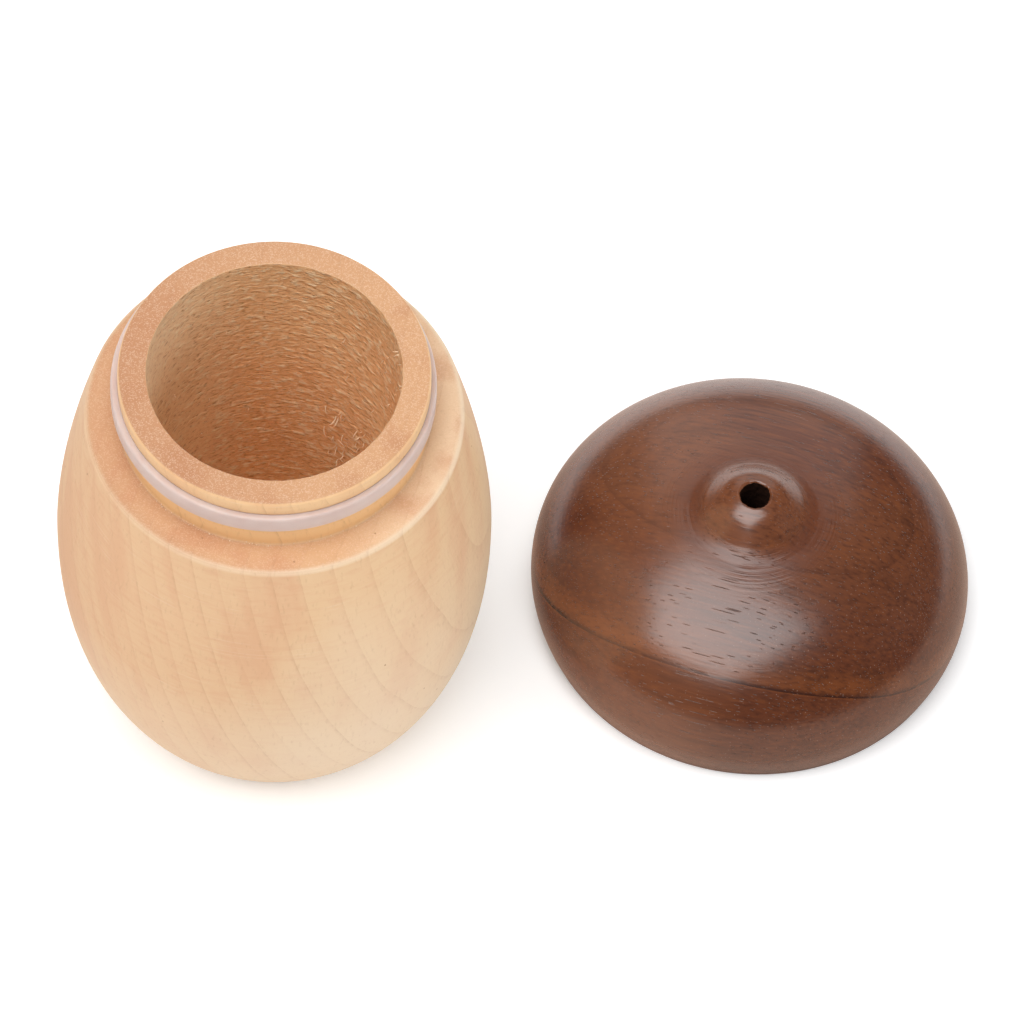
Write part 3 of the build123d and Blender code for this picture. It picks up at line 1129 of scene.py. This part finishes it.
def random_between(tree, low, high, seed):
    """A different number for each copy, between two limits."""
    inputs = {RANDOM_LOW: low, RANDOM_HIGH: high, "Seed": seed}
    return put(tree, "FunctionNodeRandomValue", inputs, data_type="FLOAT").outputs[RANDOM_RESULT]


def scatter_tree():
    limits = ("Radius", "Height", "Angle", "Size")
    tree, given, result = group_tree(
        "scatter_round",
        "GeometryNodeTree",
        [
            ("Shape", GEOMETRY, None),
            ("Count", INT, 20),
            ("Seed", INT, 1),
            *((f"{name} {end}", FLOAT, 0.01) for name in limits for end in ("Low", "High")),
            ("Lean", FLOAT, 0.6),
            ("Finish", MATERIAL, None),
        ],
        [("Geometry", GEOMETRY)],
    )
    seed = given["Seed"]
    radius, height, angle, size = (
        random_between(tree, given[f"{name} Low"], given[f"{name} High"], calc(tree, "ADD", seed, more))
        for name, more in zip(limits, (11.0, 23.0, 0.0, 37.0))
    )
    x = times(tree, calc(tree, "COSINE", angle), radius)
    y = times(tree, calc(tree, "SINE", angle), radius)
    points = geo(tree, "Points", {"Count": given["Count"]})
    placed = geo(tree, "SetPosition", {"Geometry": points, "Position": xyz(tree, x, y, height)})
    back = times(tree, given["Lean"], -1.0)
    tilt = random_between(tree, back, given["Lean"], calc(tree, "ADD", seed, 41.0))
    roll = random_between(tree, back, given["Lean"], calc(tree, "ADD", seed, 53.0))
    turn = xyz(tree, roll, tilt, calc(tree, "ADD", angle, math.pi))
    copy = {"Points": placed, "Instance": given["Shape"], "Rotation": turn, "Scale": size}
    copies = geo(tree, "InstanceOnPoints", copy)
    tree.links.new(coated(tree, copies, given["Finish"]), result["Geometry"])
    return tree


scatter = scatter_tree()
print("scatter_round has", len(scatter.nodes), "nodes")

# %% [markdown]
# A sliver is a thin curved spike with three sides, about 1.7 mm long. It grows along +X from the
# wall and its tip curls. A speck of dust is a squashed eight-sided grain. Both are closed shapes.

# %% The two small shapes
SLIVER_RINGS = 5
SLIVER_WIDTH = 0.00014
SLIVER_ROOT, SLIVER_LENGTH, SLIVER_LIFT = 0.0002, 0.0013, 0.0012
SLIVER_TIP = (0.00105, 0, 0.00118)
DUST_HALF = 0.00009


def mesh_object(name, places, faces):
    mesh = bpy.data.meshes.new(name)
    mesh.from_pydata(places, [], faces)
    made = bpy.data.objects.new(name, mesh)
    bpy.context.collection.objects.link(made)
    return made


def sliver():
    """A curved spike: rings of three points that get smaller towards the tip."""
    places = []
    for i in range(SLIVER_RINGS):
        t = i / SLIVER_RINGS
        width = SLIVER_WIDTH * (1 - t * 0.8)
        along, lift = SLIVER_LENGTH * math.sin(t * 1.9) - SLIVER_ROOT, SLIVER_LIFT * t * t
        for k in range(3):
            a = 2 * math.pi * k / 3
            places.append((along, width * math.cos(a), lift + width * math.sin(a) * 0.6))
    places.append(SLIVER_TIP)
    faces = [(0, 2, 1)]
    for i in range(SLIVER_RINGS - 1):
        for k in range(3):
            a, b = i * 3 + k, i * 3 + (k + 1) % 3
            faces.append((a, b, b + 3, a + 3))
    tip, last = len(places) - 1, (SLIVER_RINGS - 1) * 3
    faces += [(last + k, last + (k + 1) % 3, tip) for k in range(3)]
    return mesh_object("sliver", places, faces)


def grain_of_dust():
    h, top = DUST_HALF, DUST_HALF * 0.7
    places = [(h, 0, 0), (-h, 0, 0), (0, h, 0), (0, -h, 0), (0, 0, top), (0, 0, -top)]
    faces = [(0, 2, 4), (2, 1, 4), (1, 3, 4), (3, 0, 4), (2, 0, 5), (1, 2, 5), (3, 1, 5), (0, 3, 5)]
    return mesh_object("grain_of_dust", places, faces)


# %% Scatter them
FIBRE_DULL, FIBRE_BRIGHT = (0.80, 0.56, 0.34, 1), (0.92, 0.74, 0.54, 1)


def fibre_finish():
    material, tree = finish("bright_fibre", {"Roughness": 0.6})
    shade = noise_at(tree, own_space(tree), 3000.0)
    feed(tree, {"Base Color": tint(tree, FIBRE_DULL, FIBRE_BRIGHT, shade)})
    return material


bright_fibre = fibre_finish()
ON_WALL = (0.01545, 0.0155)
LOW_RIGHT, ALL_WALL, UNDER_RIM = (0.022, 0.037), (0.012, 0.060), (0.0643, 0.0652)
ON_LEDGE, ON_RIM = (0.05775, 0.0580), (0.06656, 0.06660)

# Name, shape, count, seed, limits of radius, height, angle and size, and lean.
SCATTERS = (
    ("torn_fibres_low", sliver, 56, 5, ON_WALL, LOW_RIGHT, (0.75, 1.2), (0.35, 0.95), 1.5),
    ("torn_fibres_spread", sliver, 110, 9, ON_WALL, ALL_WALL, (0.2, 2.6), (0.2, 0.45), 1.4),
    ("edge_burr", sliver, 7, 3, (0.01545, 0.01555), UNDER_RIM, (-0.15, 0.35), (0.35, 0.7), 0.7),
    ("ledge_dust", grain_of_dust, 46, 21, (0.0190, 0.0194), ON_LEDGE, (-2.6, -0.6), (0.5, 1.5), 1.5),
    ("rim_dust", grain_of_dust, 60, 33, (0.0156, 0.0187), ON_RIM, (0.0, 6.28), (0.25, 0.55), 1.5),
)
bits = []
for name, make, count, seed, radius, height, angle, size, lean in SCATTERS:
    inputs = {"Count": count, "Seed": seed, "Lean": lean, "Finish": bright_fibre}
    for label, (low, high) in (("Radius", radius), ("Height", height), ("Angle", angle), ("Size", size)):
        inputs.update({f"{label} Low": low, f"{label} High": high})
    bits.append(run_tree(make(), scatter, inputs, name))
    turn_outwards(bits[-1])

# %% [markdown]
# ## Bodies
#
# Each piece rides on the CAD body it belongs to and stands for its CAD node, so the cap lifts as
# the CAD says it does.

# %% Ride on the bodies
for piece in bits:
    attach(piece, "jar")
for piece, body, node, slot in (
    (jar, "jar", "maple_jar", "maple"),
    (seal, "jar", "seal_ring", "silicone"),
    (cap, "cap", "walnut_cap", "walnut"),
):
    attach(piece, body)
    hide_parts(node)

# %% [markdown]
# ## Floor and light
#
# The object stands on a white light table in a white tent, so the whole sky is white. The floor
# glows a little, except where something covers it within 30 mm, which ambient occlusion finds, so
# the shadows stay faint. In the cap's reflections the floor near the object is dimmer and warmer.
# One large softbox near the camera gives the soft highlight on the cap, and a light behind lifts
# the far side. The reflector on the right and the white sky stay out of the reflections.

# %% Floor and lights
COVER_REACH = 0.03
GLOW = 0.3
FLOOR_HALF = 3.0
NEAR_FROM, NEAR_TO = 0.07, 0.03
PAINT, WARM_PAINT = (0.88, 0.88, 0.88, 1), (0.78, 0.58, 0.46, 1)


def light_table_finish():
    """White paint that glows, but not under the object, and hardly at all in near reflections."""
    material, tree = finish("light_table", {"Roughness": 0.9, "Emission Strength": 1.0})
    covered = put(tree, "ShaderNodeAmbientOcclusion", {"Distance": COVER_REACH}, samples=8)
    glow = times(tree, between(tree, covered.outputs["AO"], 0.1, 0.3), GLOW)
    near = between(tree, split(tree, own_space(tree))[1], NEAR_FROM, NEAR_TO)
    mirrored = times(tree, put(tree, "ShaderNodeLightPath").outputs["Is Glossy Ray"], near)
    glow = times(tree, glow, calc(tree, "MULTIPLY_ADD", mirrored, -0.9, 1.0))
    paint = tint(tree, PAINT, WARM_PAINT, mirrored)
    feed(tree, {"Base Color": paint, "Emission Color": xyz(tree, glow, glow, glow)})
    return material


def white_floor():
    h = FLOOR_HALF
    floor = mesh_object("floor", [(-h, -h, 0), (h, -h, 0), (h, h, 0), (-h, h, 0)], [(0, 1, 2, 3)])
    floor.data.materials.append(light_table_finish())


def area_light(name, place, width, depth, watts, shines):
    """A rectangular softbox that faces the object, and may be left out of reflections."""
    data = bpy.data.lights.new(name, "AREA")
    data.shape = "RECTANGLE"
    data.size = width
    data.size_y = depth
    data.energy = watts
    light = bpy.data.objects.new(name, data)
    bpy.context.collection.objects.link(light)
    light.location = place
    light.visible_glossy = shines
    light.rotation_euler = (CAMERA_AIM - light.location).to_track_quat("-Z", "Y").to_euler()


def white_tent():
    """A white world that lights everything and isn't seen in reflections."""
    world = bpy.data.worlds.new("white_tent")
    world.use_nodes = True
    sky = world.node_tree.nodes["Background"].inputs
    sky["Color"].default_value = (1, 1, 1, 1)
    sky["Strength"].default_value = 0.25
    world.cycles_visibility.glossy = False
    return world


# Name, place, width, depth, watts, and whether it shows in reflections.
LIGHTS = (
    ("softbox", (-0.31, -0.34, 1.62), 1.43, 1.55, 29.3, True),
    ("back_light", (0.1, 1.45, 0.95), 1.5, 1.5, 5.4, True),
    ("reflector", (1.25, -0.1, 0.6), 0.9, 0.6, 4.5, False),
)
white_floor()
for light in LIGHTS:
    area_light(*light)
bpy.context.scene.world = white_tent()
bpy.context.scene.view_settings.view_transform = "Standard"
